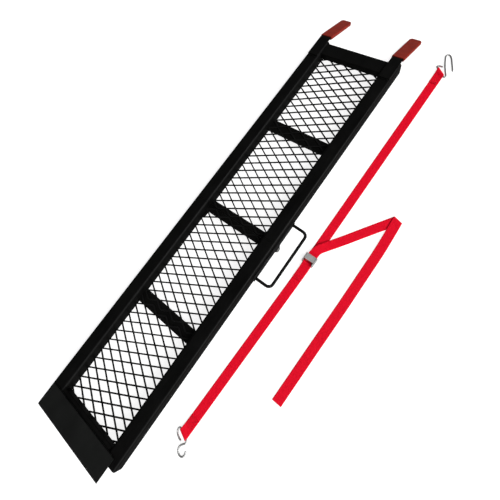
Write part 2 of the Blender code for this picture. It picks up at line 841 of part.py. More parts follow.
# Each hook is one bent wire: an eye round the webbing's loop, then an open crook.
# The guide is in millimetres: across the run to the right of the webbing, then outward.
FOOT_HOOK = (
    (4.9, 15.9),
    (-3.3, 14.9),
    (-12.3, 10.7),
    (-18.4, 3.9),
    (-18.9, -3.3),
    (-15.1, -5.3),
    (-6.7, -2.3),
    (6.7, 2.3),
    (14.6, 5),
    (18, 8.1),
    (17.1, 13.7),
    (12.2, 20.9),
    (9.8, 30),
    (13.5, 38.5),
    (22, 43.2),
    (29.9, 41.6),
    (33, 34.6),
    (32.4, 28.2),
    (29.9, 25),
)
HEAD_HOOK = (
    (-3.3, 22.1),
    (-10, 22.8),
    (-16.9, 21.6),
    (-19.9, 18.3),
    (-16.6, 13.7),
    (-7.8, 6.4),
    (7.8, -6.4),
    (15, -12.3),
    (18.7, -14),
    (20.7, -11.2),
    (19.1, -5.2),
    (13.7, 4),
    (0.6, 28.2),
    (-9.1, 51),
    (-15.2, 67),
    (-13.6, 75.2),
    (-6, 76.2),
    (3.7, 65.5),
    (13.8, 47),
    (23.8, 28.8),
    (29.6, 16.8),
)
for name, bar_at, outward, across, line in (
    ("hook_foot", LOW_BAR, -short_run, rightward(short_run), FOOT_HOOK),
    ("hook_head", HIGH_BAR, -long_run, rightward(-long_run), HEAD_HOOK),
):
    tip = max(out for sideways, out in line)
    guide = []
    for sideways, out in line:
        sink = (WIRE + 0.1 * MM - HOOK_BAR_Z) * max(out - 12.5, 0) / (tip - 12.5)
        guide.append(across * sideways * MM + outward * out * MM + Vector((0, 0, sink)))
    wire = rod(smooth_line(guide, 2), WIRE, 8, Vector((0, 0, 1)))
    node(name, wire, bar_at + Vector((0, 0, HOOK_BAR_Z)), root, STEEL, 0.3, 1.0)

# Buckle: a bent channel, two fixed bars, the cam's pin and the toothed cam lever.
turned = Matrix((buckle_right, buckle_run, Vector((0, 0, 1)))).transposed().to_euler()
outer = BUCKLE_INNER / 2 + BUCKLE_SHEET
channel = bar(
    [
        (-outer, 0),
        (outer, 0),
        (outer, BUCKLE_HEIGHT + 4 * MM),
        (BUCKLE_INNER / 2, BUCKLE_HEIGHT + 4 * MM),
        (BUCKLE_INNER / 2, BUCKLE_SHEET),
        (-BUCKLE_INNER / 2, BUCKLE_SHEET),
        (-BUCKLE_INNER / 2, BUCKLE_HEIGHT + 4 * MM),
        (-outer, BUCKLE_HEIGHT + 4 * MM),
    ],
    "y",
    BUCKLE_LENGTH,
)
node("buckle_frame", channel, BUCKLE + buckle_run * MM + Vector((0, 0, GAP)), root, STEEL, 0.3, 1.0, False)
bpy.data.objects["buckle_frame"].rotation_euler = turned
for name, ahead, up in (
    ("buckle_end_bar", END_BAR_V, BAR_Z),
    ("buckle_middle_bar", MIDDLE_BAR_V, BAR_Z),
    ("cam_pin", CAM_PIN_V, CAM_PIN_Z),
):
    where = BUCKLE + buckle_run * ahead + Vector((0, 0, up))
    pin = bar(circle(BAR_RADIUS, 14), "x", BUCKLE_INNER - 2 * GAP)
    node(name, pin, where, root, STEEL, 0.3, 1.0).rotation_euler = turned

CAM_RADIUS = 5 * MM
cam_outline = [
    (CAM_RADIUS * math.cos(turn), CAM_RADIUS * math.sin(turn))
    for turn in (math.radians(-165 + 15 * k) for k in range(18))
]
cam_outline += [(-12.5 * MM, 5 * MM), (-14 * MM, 3.8 * MM), (-12.5 * MM, 2.4 * MM), (-6 * MM, 1.6 * MM)]
lever_axis = empty("cam_axis", BUCKLE + buckle_run * CAM_PIN_V + Vector((0, 0, CAM_PIN_Z)), root)
lever_axis.rotation_euler = turned
lever = plate_with_hole(cam_outline, circle(2.9 * MM, 14), "x", BUCKLE_INNER - 2 * MM)
node("cam_lever", lever, lever_axis.location, lever_axis, STEEL, 0.3, 1.0, False)
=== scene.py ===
"""Looks of the folding loading ramp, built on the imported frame.

The steel keeps the shapes of the CAD nodes and gets procedural finishes. Weld
beads and stitches are pieces of their own, and the red webbing is modelled again
with its ribs and weave. The webbing's route is given in the build frame of the
part, whose x runs across the ramp and y along it from the fold line; SHIFT takes
it to the world.
"""

import math

import bmesh
import bpy
from mathutils import Matrix, Vector


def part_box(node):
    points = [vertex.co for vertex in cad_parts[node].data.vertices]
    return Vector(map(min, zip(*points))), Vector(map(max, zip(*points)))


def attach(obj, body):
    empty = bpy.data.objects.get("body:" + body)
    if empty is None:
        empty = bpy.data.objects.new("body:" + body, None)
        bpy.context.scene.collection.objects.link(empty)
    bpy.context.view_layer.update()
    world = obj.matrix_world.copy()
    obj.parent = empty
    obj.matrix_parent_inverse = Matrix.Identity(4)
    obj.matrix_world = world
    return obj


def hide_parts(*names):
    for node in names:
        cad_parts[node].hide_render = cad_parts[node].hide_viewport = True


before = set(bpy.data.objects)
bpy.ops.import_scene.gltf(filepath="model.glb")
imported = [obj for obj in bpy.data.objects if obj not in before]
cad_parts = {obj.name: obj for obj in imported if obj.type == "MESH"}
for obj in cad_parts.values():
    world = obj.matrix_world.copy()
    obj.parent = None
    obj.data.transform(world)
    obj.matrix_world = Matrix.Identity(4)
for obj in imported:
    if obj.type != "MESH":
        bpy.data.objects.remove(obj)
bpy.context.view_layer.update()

MM = 0.001
X = Vector((1, 0, 0))
Y = Vector((0, 1, 0))
Z = Vector((0, 0, 1))
SHIFT = Vector((-25 * MM, -56.84586 * MM, 0))
FULL_TURN = 2 * math.pi
scene = bpy.context.scene
scene.view_settings.view_transform = "Standard"

# ------------------------------------------------------------------- camera

camera_data = bpy.data.cameras.new("camera")
camera = bpy.data.objects.new("camera", camera_data)
scene.collection.objects.link(camera)
scene.camera = camera
camera_data.sensor_fit = "HORIZONTAL"
camera_data.sensor_width = 36
camera_data.lens = 24.48
camera_data.shift_x = 0.0398
camera_data.shift_y = -0.0791
camera_data.clip_start = 0.02

CAMERA_AT = Vector((0.39695, -0.21195, 0.9912))
CAMERA_TARGET = Vector((-0.06415, -0.03735, 0.03))
CAMERA_ROLL = math.radians(34.638)

ahead = (CAMERA_TARGET - CAMERA_AT).normalized()
level_right = ahead.cross(Z).normalized()
level_up = level_right.cross(ahead)
camera_up = level_up * math.cos(CAMERA_ROLL) + level_right * math.sin(CAMERA_ROLL)
camera_right = ahead.cross(camera_up)
camera.matrix_world = Matrix.Translation(CAMERA_AT) @ Matrix(
    (camera_right, camera_up, -ahead)
).transposed().to_4x4()

# ---------------------------------------------------------- floor and light


def shader(name, color, roughness, metallic=0.0, specular=0.5):
    """A material with its Principled shader, and the tree that textures are added to."""
    material = bpy.data.materials.new(name)
    material.use_nodes = True
    tree = material.node_tree
    surface = tree.nodes["Principled BSDF"]
    surface.inputs["Base Color"].default_value = (*color, 1)
    surface.inputs["Roughness"].default_value = roughness
    surface.inputs["Metallic"].default_value = metallic
    surface.inputs["Specular IOR Level"].default_value = specular
    return material, tree, surface


FLOOR_HALF = 9
FLOOR_Z = -0.2 * MM
DOME_RADIUS = FLOOR_HALF - 0.5

floor_mesh = bpy.data.meshes.new("floor")
corners = ((-1, -1), (1, -1), (1, 1), (-1, 1))
floor_mesh.from_pydata(
    [(FLOOR_HALF * x, FLOOR_HALF * y, FLOOR_Z) for x, y in corners], [], [(0, 1, 2, 3)]
)
floor = bpy.data.objects.new("floor", floor_mesh)
scene.collection.objects.link(floor)
floor_paint, _, floor_surface = shader("floor_paint", (0.45, 0.45, 0.45), 0.9, specular=0.0)
# A lit table top, which keeps the shadows faint.
floor_surface.inputs["Emission Color"].default_value = (1, 1, 1, 1)
floor_surface.inputs["Emission Strength"].default_value = 0.85
floor_mesh.materials.append(floor_paint)
# The black coat stays as dark as in a studio with black flags round the object.
floor.visible_glossy = False

# A pale dome behind everything for the low views. It gives no light and throws no shadow.
dome_bm = bmesh.new()
bmesh.ops.create_uvsphere(dome_bm, u_segments=48, v_segments=24, radius=DOME_RADIUS)
dome_mesh = bpy.data.meshes.new("backdrop")
dome_bm.to_mesh(dome_mesh)
dome_bm.free()
dome = bpy.data.objects.new("backdrop", dome_mesh)
scene.collection.objects.link(dome)
dome_paint, _, dome_surface = shader("backdrop_paint", (0, 0, 0), 1.0, specular=0.0)
dome_surface.inputs["Emission Color"].default_value = (1, 1, 1, 1)
dome_surface.inputs["Emission Strength"].default_value = 0.88
dome_mesh.materials.append(dome_paint)
dome.visible_diffuse = False
dome.visible_glossy = False
dome.visible_transmission = False
dome.visible_shadow = False

world = bpy.data.worlds.new("studio")
scene.world = world
world.use_nodes = True
backdrop = world.node_tree.nodes["Background"]
backdrop.inputs["Color"].default_value = (1, 1, 1, 1)
backdrop.inputs["Strength"].default_value = 0.14

for name, toward, energy, spread in (
    ("key", (0.80, 0.30, 0.62), 2.5, 0.7),
    ("fill", (0.80, -0.45, 0.60), 1.9, 1.0),
):
    lamp = bpy.data.lights.new(name, "SUN")
    lamp.energy = energy
    lamp.angle = spread
    light = bpy.data.objects.new(name, lamp)
    light.rotation_euler = Vector(toward).to_track_quat("Z", "Y").to_euler()
    scene.collection.objects.link(light)

# ---------------------------------------------------------------- materials


class Recipe:
    """Adds texture nodes to one material's tree."""

    def __init__(self, name, color, roughness, metallic=0.0, specular=0.5):
        made = shader(name, color, roughness, metallic, specular)
        self.material, self.tree, self.surface = made
        self.place = self.node("ShaderNodeTexCoord").outputs["Object"]
        self.bumped = None

    def node(self, kind, **values):
        made = self.tree.nodes.new(kind)
        for key, value in values.items():
            setattr(made, key, value)
        return made

    def link(self, source, target):
        self.tree.links.new(source, target)

    def stretched(self, scale):
        """Object coordinates scaled along each axis, for streaks."""
        mapping = self.node("ShaderNodeMapping")
        mapping.inputs["Scale"].default_value = scale
        self.link(self.place, mapping.inputs["Vector"])
        return mapping.outputs["Vector"]

    def noise(self, scale, detail=3.0, rough=0.55, vector=None):
        made = self.node("ShaderNodeTexNoise")
        made.inputs["Scale"].default_value = scale
        made.inputs["Detail"].default_value = detail
        made.inputs["Roughness"].default_value = rough
        self.link(vector or self.place, made.inputs["Vector"])
        return made.outputs["Fac"]

    def spread(self, value, low, high, start=0.3, end=0.7):
        """A value between start and end, stretched to run from low to high."""
        made = self.node("ShaderNodeMapRange")
        limits = {"From Min": start, "From Max": end, "To Min": low, "To Max": high}
        for key, number in limits.items():
            made.inputs[key].default_value = number
        self.link(value, made.inputs["Value"])
        return made.outputs["Result"]

    def ramp(self, value, stops):
        made = self.node("ShaderNodeValToRGB")
        elements = made.color_ramp.elements
        for k, (position, color) in enumerate(stops):
            element = elements[k] if k < 2 else elements.new(position)
            element.position = position
            element.color = (*color, 1)
        self.link(value, made.inputs["Fac"])
        return made.outputs["Color"]

    def math(self, operation, first, second):
        made = self.node("ShaderNodeMath", operation=operation)
        for socket, value in zip(made.inputs, (first, second)):
            if isinstance(value, (int, float)):
                socket.default_value = value
            else:
                self.link(value, socket)
        return made.outputs["Value"]

    def color(self, output):
        self.link(output, self.surface.inputs["Base Color"])

    def roughness(self, output):
        self.link(output, self.surface.inputs["Roughness"])

    def bump(self, height, distance, strength=1.0):
        made = self.node("ShaderNodeBump")
        made.inputs["Distance"].default_value = distance
        made.inputs["Strength"].default_value = strength
        self.link(height, made.inputs["Height"])
        if self.bumped:
            self.link(self.bumped, made.inputs["Normal"])
        self.bumped = made.outputs["Normal"]
        self.link(self.bumped, self.surface.inputs["Normal"])


def powder_coat(name, dark, light, rough=(0.36, 0.52), specular=0.18):
    """Sprayed and baked black coat: orange peel, faint cloudiness and light scuffs."""
    made = Recipe(name, light, sum(rough) / 2, specular=specular)
    cloud = made.noise(14, 4)
    scuff = made.noise(60, 5, 0.7, made.stretched((1.0, 0.25, 1.0)))
    grey = tuple(c * 1.9 for c in light)
    tone = made.math("ADD", made.math("MULTIPLY", cloud, 0.7), made.math("MULTIPLY", scuff, 0.3))
    made.color(made.ramp(tone, ((0.35, dark), (0.6, light), (0.78, grey))))
    made.roughness(made.spread(scuff, rough[0], rough[1]))
    made.bump(made.noise(900, 2, 0.4), 0.05 * MM)
    made.bump(made.noise(240, 1, 0.3), 0.08 * MM, 0.6)
    return made.material


def plated(name, dull, bright, rough, metallic, grain):
    """Zinc plating: spangled tone, fine drawn grain and a few darker blooms."""
    made = Recipe(name, bright, sum(rough) / 2, metallic)
    bloom = made.noise(120, 4, 0.6)
    drawn = made.noise(grain, 3, 0.6, made.stretched((1.0, 0.12, 1.0)))
    tone = made.math("ADD", made.math("MULTIPLY", bloom, 0.6), made.math("MULTIPLY", drawn, 0.4))
    made.color(made.ramp(tone, ((0.3, dull), (0.7, bright))))
    made.roughness(made.spread(drawn, rough[0], rough[1]))
    made.bump(drawn, 0.03 * MM)
    return made.material


def dipped_vinyl(name):
    """Dipped vinyl: slightly uneven red, soft sheen, small pits and drips."""
    deep, red, pale = (0.180, 0.012, 0.006), (0.232, 0.017, 0.008), (0.29, 0.024, 0.012)
    made = Recipe(name, red, 0.42, specular=0.25)
    cloud = made.noise(45, 3)
    made.color(made.ramp(cloud, ((0.3, deep), (0.55, red), (0.8, pale))))
    made.roughness(made.spread(made.noise(90, 3), 0.34, 0.52))
    made.bump(made.noise(160, 2), 0.16 * MM)
    made.bump(made.noise(1100, 2), 0.03 * MM)
    return made.material


def moulded_plastic(name):
    """Spark-textured black polyethylene."""
    dark, light = (0.004, 0.004, 0.004), (0.009, 0.009, 0.009)
    made = Recipe(name, (0.006, 0.006, 0.006), 0.6, specular=0.35)
    grain = made.noise(1500, 2)
    made.color(made.ramp(made.noise(70, 3), ((0.3, dark), (0.75, light))))
    made.roughness(made.spread(grain, 0.5, 0.72))
    made.bump(grain, 0.06 * MM)
    return made.material


def woven_polyester(name):
    """Red polyester webbing. The UV map runs in metres, across and along the strip."""
    rib_pitch, pick_pitch, pick_slant = 2.1 * MM, 1.25 * MM, 0.9
    dark, red, pale = (0.62, 0.0006, 0.011), (0.82, 0.0014, 0.019), (0.90, 0.004, 0.028)
    made = Recipe(name, (0.80, 0.001, 0.018), 0.62, specular=0.1)
    made.surface.inputs["Sheen Weight"].default_value = 0.02
    made.surface.inputs["Sheen Roughness"].default_value = 0.4
    place = made.node("ShaderNodeUVMap", uv_map="strip").outputs["UV"]
    across_along = made.node("ShaderNodeSeparateXYZ")
    made.link(place, across_along.inputs["Vector"])
    across, along = across_along.outputs["X"], across_along.outputs["Y"]
    rib = made.math("SINE", made.math("MULTIPLY", across, FULL_TURN / rib_pitch), 0.0)
    slants = []
    for lean in ("ADD", "SUBTRACT"):
        leaning = made.math(lean, along, made.math("MULTIPLY", across, pick_slant))
        slants.append(made.math("MULTIPLY", leaning, FULL_TURN / pick_pitch))
    slant, back_slant = slants
    side = made.math("GREATER_THAN", rib, 0.0)
    other_side = made.math("SUBTRACT", 1.0, side)
    twill = made.math(
        "ADD",
        made.math("MULTIPLY", made.math("SINE", slant, 0.0), side),
        made.math("MULTIPLY", made.math("SINE", back_slant, 0.0), other_side),
    )
    crown = made.math("MULTIPLY", made.math("ABSOLUTE", rib, 0.0), 0.6)
    relief = made.math("ADD", crown, made.math("MULTIPLY", twill, 0.4))
    fuzz = made.noise(700, 3)
    # The colour follows the weave's relief: painted shade in the grooves and painted light on
    # the rib crowns, while the fuzz adds random tone.
    tone = made.math(
        "ADD", made.math("MULTIPLY", relief, 0.5), made.math("MULTIPLY", fuzz, 0.55)
    )
    made.color(made.ramp(tone, ((0.05, dark), (0.45, red), (0.85, pale))))
    made.roughness(made.spread(fuzz, 0.52, 0.74))
    made.bump(relief, 0.12 * MM)
    return made.material


def sewing_thread(name):
    """Bonded thread, a shade darker than the webbing."""
    dark, light = (0.30, 0.004, 0.012), (0.50, 0.008, 0.024)
    made = Recipe(name, (0.46, 0.004, 0.014), 0.5, specular=0.3)
    made.color(made.ramp(made.noise(900, 2), ((0.3, dark), (0.7, light))))
    made.roughness(made.spread(made.noise(1200, 2), 0.4, 0.6))
    made.bump(made.noise(2500, 2), 0.04 * MM)
    return made.material


COAT = powder_coat(
    "powder_coat", (0.0015, 0.0015, 0.0014), (0.0030, 0.0030, 0.0028), specular=0.09
)
PLATE_COAT = powder_coat(
    "plate_coat",
    (0.0034, 0.0037, 0.0034),
    (0.0056, 0.0061, 0.0056),
    rough=(0.46, 0.62),
    specular=0.2,
)
SIDE_COAT = powder_coat(
    "side_plate_coat", (0.0042, 0.0042, 0.0043), (0.0066, 0.0066, 0.0067), rough=(0.42, 0.58)
)
TREAD_COAT = powder_coat(
    "tread_coat", (0.0018, 0.0018, 0.0018), (0.0036, 0.0036, 0.0035), rough=(0.44, 0.62)
)
WELD_COAT = powder_coat(
    "weld_coat", (0.0014, 0.0014, 0.0014), (0.0030, 0.0030, 0.0030), rough=(0.30, 0.46)
)
VINYL = dipped_vinyl("red_vinyl_dip")
PLUG_PLASTIC = moulded_plastic("plug_plastic")
FASTENER = plated(
    "zinc_fasteners", (0.34, 0.34, 0.33), (0.58, 0.58, 0.56), (0.28, 0.44), 0.85, 900
)
STRAP_STEEL = plated(
    "strap_steel", (0.50, 0.50, 0.49), (0.74, 0.74, 0.72), (0.26, 0.42), 0.55, 700
)
HOOK_STEEL = plated(
    "hook_steel", (0.36, 0.36, 0.36), (0.56, 0.56, 0.55), (0.26, 0.42), 0.7, 700
)
WEBBING = woven_polyester("woven_polyester")
THREAD = sewing_thread("sewing_thread")

FINISHES = (
    ("end_plug", PLUG_PLASTIC),
    ("finger_coat", VINYL),
    ("tread", TREAD_COAT),
    ("pivot", FASTENER),
    ("hook", HOOK_STEEL),
    ("buckle", STRAP_STEEL),
    ("cam", STRAP_STEEL),
    ("approach_plate", PLATE_COAT),
    ("handle_plate", SIDE_COAT),
    ("", COAT),
)
for name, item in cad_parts.items():
    finish = next(material for start, material in FINISHES if name.startswith(start))
    for slot in item.material_slots:
        slot.link = "OBJECT"
        slot.material = finish

# The bent wires are rounded, and grown by what the rounding takes off.
for name in ("hook_foot", "hook_head"):
    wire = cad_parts[name]
    joining = wire.modifiers.new("join", "WELD")
    joining.merge_threshold = 0.01 * MM
    rounding = wire.modifiers.new("round", "SUBSURF")
    rounding.levels = rounding.render_levels = 2
    growth = wire.modifiers.new("grow", "DISPLACE")
    growth.strength = 0.2 * MM
    growth.mid_level = 0.0

# ------------------------------------------------------------ piece builders


def piece(name, bm, material, body):
    mesh = bpy.data.meshes.new(name)
    bm.to_mesh(mesh)
    bm.free()
    made = bpy.data.objects.new(name, mesh)
    scene.collection.objects.link(made)
    mesh.materials.append(material)
    for polygon in mesh.polygons:
        polygon.use_smooth = True
    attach(made, body)
    return made


def tube(bm, line, radii, side, lift, sides=8):
    """A closed tube along a line; side and lift span its cross-section."""
    rings = []
    for point, radius in zip(line, radii):
        ring = []
        for k in range(sides):
            turn = FULL_TURN * k / sides
            offset = side * math.cos(turn) + lift * math.sin(turn)
            ring.append(bm.verts.new(point + offset * radius))
        rings.append(ring)
    for first, second in zip(rings, rings[1:]):
        for k in range(sides):
            after = (k + 1) % sides
            bm.faces.new((first[k], first[after], second[after], second[k]))
    bm.faces.new(list(reversed(rings[0])))
    bm.faces.new(rings[-1])


# ---------------------------------------------------------------- weld beads

BEAD_STEP = 0.6 * MM
BEAD_RIPPLE = 2.3 * MM
BEAD_TAPER = 2.2 * MM
weld_meshes = {"lower_frame": bmesh.new(), "upper_frame": bmesh.new()}


def ripple(phase):
    """The swell of a bead, which peaks once for each half turn of phase."""
    return 0.86 + 0.14 * abs(math.sin(phase))


def weld(body, start, end, side, lift, radius):
    """A straight bead with the ripples of one pass, tapering in at both ends."""
    start, end = Vector(start), Vector(end)
    length = (end - start).length
    count = max(8, round(length / BEAD_STEP))
    line, radii = [], []
    for k in range(count + 1):
        along = length * k / count
        taper = min(1.0, 0.35 + 0.65 * min(along, length - along) / BEAD_TAPER)
        line.append(start.lerp(end, k / count))
        radii.append(radius * taper * ripple(math.pi * along / BEAD_RIPPLE))
    tube(weld_meshes[body], line, radii, side, lift)


def ring_weld(body, centre, axis, reach, radius):
    """A bead all round a rod where it meets a plate."""
    bm = weld_meshes[body]
    across = axis.cross(Z).normalized()
    sides, steps, ripples = 8, 40, 10
    rings = []
    for k in range(steps):
        turn = FULL_TURN * k / steps
        out = across * math.cos(turn) + Z * math.sin(turn)
        here = radius * ripple(ripples * turn / 2)
        ring = []
        for j in range(sides):
            phase = FULL_TURN * j / sides
            offset = out * math.cos(phase) + axis * math.sin(phase)
            ring.append(bm.verts.new(centre + out * reach + offset * here))
        rings.append(ring)
    for k in range(steps):
        first, second = rings[k], rings[(k + 1) % steps]
        for j in range(sides):
            after = (j + 1) % sides
            bm.faces.new((first[j], second[j], second[after], first[after]))


rail_low, rail_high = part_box("rail_lower_right")
inner = {-1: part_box("rail_lower_left")[1].x, 1: rail_low.x}
rail_top = rail_high.z

# Rungs and end bars meet the rails' inner walls.
BAR_BEAD = 1.5 * MM
BAR_OUT = 0.5 * MM
BAR_END_GAP = 1 * MM
BAR_UNDER_GAP = 2 * MM
for name, body in (
    ("rung_lower", "lower_frame"),
    ("rung_upper", "upper_frame"),
    ("middle_rung_lower", "lower_frame"),
    ("middle_rung_upper", "upper_frame"),
    ("foot_bar", "lower_frame"),
    ("head_bar", "upper_frame"),
):
    low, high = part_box(name)
    for hand, x in inner.items():
        at = x - hand * BAR_OUT
        for y in (low.y - BAR_OUT, high.y + BAR_OUT):
            start, end = (at, y, low.z + BAR_END_GAP), (at, y, high.z - BAR_END_GAP)
            weld(body, start, end, X, Y, BAR_BEAD)
        start, end = (at, low.y + BAR_UNDER_GAP, low.z), (at, high.y - BAR_UNDER_GAP, low.z)
        weld(body, start, end, X, Z, BAR_BEAD)

# The approach plate is stitched along its back edge in four short beads.
STITCH_BEAD = 1.6 * MM
BEAD_RISE = 0.9 * MM
low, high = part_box("approach_plate")
bead_y, bead_z = high.y + 0.3 * MM, low.z + BEAD_RISE
for first, last in ((0.03, 0.2), (0.26, 0.43), (0.56, 0.72), (0.78, 0.96)):
    start, end = (low.x + (high.x - low.x) * share for share in (first, last))
    weld("lower_frame", (start, bead_y, bead_z), (end, bead_y, bead_z), Y, Z, STITCH_BEAD)

# Each finger is welded along both edges and across its root.
FINGER_BEAD = 1.8 * MM
FINGER_OUT = 0.4 * MM
bead_z = rail_top + BEAD_RISE
edge_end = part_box("head_bar")[1].y - 6 * MM
for side in ("left", "right"):
    low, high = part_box(f"finger_{side}")
    edge_start = low.y + 4 * MM
    for x in (low.x - FINGER_OUT, high.x + FINGER_OUT):
        weld(
            "upper_frame", (x, edge_start, bead_z), (x, edge_end, bead_z), X, Z, FINGER_BEAD
        )
    root_y = low.y - FINGER_OUT
    start, end = (low.x + 3 * MM, root_y, bead_z), (high.x - 3 * MM, root_y, bead_z)
    weld("upper_frame", start, end, Y, Z, FINGER_BEAD)

# The handle's legs are welded to their plate, and the plate to the lower half's rail only.
HANDLE_LEGS = (82 * MM, -108 * MM)
HANDLE_Z = 33 * MM
HANDLE_RADIUS = 4.5 * MM
LUG_BEAD = 1.3 * MM
LUG_IN = 1.2 * MM
fold_y = SHIFT.y
low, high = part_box("handle_plate")
for leg_y in HANDLE_LEGS:
    centre = Vector((high.x, fold_y + leg_y, HANDLE_Z))
    ring_weld("lower_frame", centre, X, HANDLE_RADIUS, LUG_BEAD)
at = high.x - LUG_IN
for first, last in ((-112, -82), (-64, -34), (-28, -6)):
    start, end = (at, fold_y + first * MM, high.z), (at, fold_y + last * MM, high.z)
    weld("lower_frame", start, end, X, Z, LUG_BEAD)
low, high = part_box("fold_cheek_upper")
at = low.x + LUG_IN
start, end = (at, fold_y + 5 * MM, high.z), (at, high.y - 2 * MM, high.z)
weld("upper_frame", start, end, X, Z, LUG_BEAD)

for body, bm in weld_meshes.items():
    piece(f"welds_{body.split('_')[0]}", bm, WELD_COAT, body)

# ------------------------------------------------------------- webbing route

# Middles of the foot hook's eye bar, the buckle, the head hook's eye bar, and the tail.
LOW_BAR = Vector((230.6, -548.5, 0)) * MM + SHIFT
BUCKLE = Vector((248.3, 24, 0)) * MM + SHIFT
HIGH_BAR = Vector((256.6, 777, 0)) * MM + SHIFT
TAIL_FOLD = Vector((387.5, 259, 0)) * MM + SHIFT
TAIL_END = Vector((379.5, -335, 0)) * MM + SHIFT
# The eye bars lie askew: distance along the run for each step across it.
LOW_SKEW = -0.345
HIGH_SKEW = -0.82
SKEW_FADE = 60 * MM
WEB_WIDTH = 28 * MM
WEB_THICKNESS = 1.6 * MM
WEB_Z = 1.1 * MM
OVERLAP_Z = WEB_Z + WEB_THICKNESS + 0.4 * MM
# Radii of the strip's middle where it goes round the buckle's bars and the hooks' eyes.
WRAP = 3.6 * MM
HOOK_WRAP = 3.85 * MM
HOOK_BAR_Z = 4.8 * MM
BAR_Z = 6.9 * MM
END_BAR_V = -9.5 * MM
MIDDLE_BAR_V = 0.5 * MM


def heading(start, end):
    return (end - start).normalized()


def rightward(forward):
    return Vector((forward.y, -forward.x, 0))


def run_point(start, forward, skew, distance, across, height):
    """A point on a straight run, whose first stretch sits askew on its hook."""
    slant = skew * max(0, 1 - max(distance, 0) / SKEW_FADE)
    side = rightward(forward) + forward * slant
    return start + forward * distance + side * across + Z * height


def run_rows(start, forward, path, skew=0.0):
    """The strip's left and right edge points for each (distance, height) of a run."""
    sides = (-WEB_WIDTH / 2, WEB_WIDTH / 2)
    return [
        tuple(run_point(start, forward, skew, distance, across, height) for across in sides)
        for distance, height in path
    ]


def wrap(distance, height, reach, radius, first_turn, last_turn, steps=8):
    """(distance, height) points round a bar, turns in degrees from straight ahead."""
    points = []
    for step in range(steps + 1):
        turn = math.radians(first_turn + (last_turn - first_turn) * step / steps)
        points.append((distance + reach * math.cos(turn), height + radius * math.sin(turn)))
    return points


def sewn_start(bar_height, skew):
    """From the sewn end on top of the run, back to a bar at 0 and round behind it."""
    reach = (HOOK_WRAP - WEB_THICKNESS / 2) * math.hypot(1, skew) + WEB_THICKNESS / 2
    return [
        (48 * MM, OVERLAP_Z),
        (36 * MM, OVERLAP_Z),
        (26 * MM, OVERLAP_Z),
        (16 * MM, OVERLAP_Z + 0.8 * MM),
        (7 * MM, bar_height + 2.7 * MM),
        *wrap(0, bar_height, reach, HOOK_WRAP, 90, 270),
        (8 * MM, WEB_Z),
        (20 * MM, WEB_Z),
        (34 * MM, WEB_Z),
        (48 * MM, WEB_Z),
        (SKEW_FADE, WEB_Z),
    ]


def smooth_line(points, per_span):
    """Points of a Catmull-Rom curve through the given ones."""
    guide = [2 * points[0] - points[1], *points, 2 * points[-1] - points[-2]]
    line = []
    for k in range(1, len(guide) - 2):
        a, b, c, d = guide[k - 1 : k + 3]
        for step in range(per_span):
            t = step / per_span
            line.append(
                0.5
                * (
                    2 * b
                    + (c - a) * t
                    + (2 * a - 5 * b + 4 * c - d) * t**2
                    + (3 * b - a - 3 * c + d) * t**3
                )
            )
    line.append(points[-1].copy())
    return line


short_run = heading(LOW_BAR, BUCKLE)
short_length = (BUCKLE - LOW_BAR).length + END_BAR_V
short_path = sewn_start(HOOK_BAR_Z, LOW_SKEW)
short_path += [
    (short_length - 24 * MM, WEB_Z),
    (short_length - 10 * MM, BAR_Z - WRAP),
    *wrap(short_length, BAR_Z, WRAP, WRAP, -90, 90),
    (short_length - 8 * MM, BAR_Z + 2.2 * MM),
    (short_length - 24 * MM, OVERLAP_Z + 0.9 * MM),
    (short_length - 34 * MM, OVERLAP_Z),
    (short_length - 56 * MM, OVERLAP_Z),
]
short_rows = run_rows(LOW_BAR, short_run, short_path, LOW_SKEW)

buckle_right = rightward(short_run)
middle_bar = BUCKLE + short_run * MIDDLE_BAR_V
long_run = heading(HIGH_BAR, middle_bar)
long_length = (middle_bar - HIGH_BAR).length
long_path = sewn_start(HOOK_BAR_Z, HIGH_SKEW)
long_path += [
    (long_length - 44 * MM, WEB_Z),
    (long_length - 30 * MM, BAR_Z - WRAP),
    *wrap(long_length, BAR_Z, WRAP + 0.4 * MM, WRAP, -90, 90),
]
long_rows = run_rows(HIGH_BAR, long_run, long_path, HIGH_SKEW)

leg = heading(BUCKLE + short_run * 60 * MM + buckle_right * 14 * MM, TAIL_FOLD)
crease = (leg + heading(TAIL_FOLD, TAIL_END)).normalized()
away = Vector((-crease.y, crease.x, 0))
tail_guide = [
    BUCKLE + buckle_right * sideways * MM + short_run * along * MM + Z * height * MM
    for sideways, along, height in (
        (0, 8, 10.5),
        (0, 24, 10.3),
        (4, 42, 8.2),
        (16, 62, 5.4),
        (32, 86, 4.0),
        (51, 115, 2.2),
    )
]
tail_guide.append(TAIL_FOLD - leg * 110 * MM + Z * WEB_Z)
tail_guide.append(TAIL_FOLD - leg * 20 * MM + Z * WEB_Z)
tail_line = smooth_line(tail_guide, 4)
for k in range(len(tail_line)):
    chord = tail_line[min(k + 1, len(tail_line) - 1)] - tail_line[max(k - 1, 0)]
    chord.z = 0
    tail_half = rightward(chord.normalized()) * WEB_WIDTH / 2
    # Seen from above the strip has come back over the bar, so its edges have changed sides.
    long_rows.append((tail_line[k] + tail_half, tail_line[k] - tail_half))

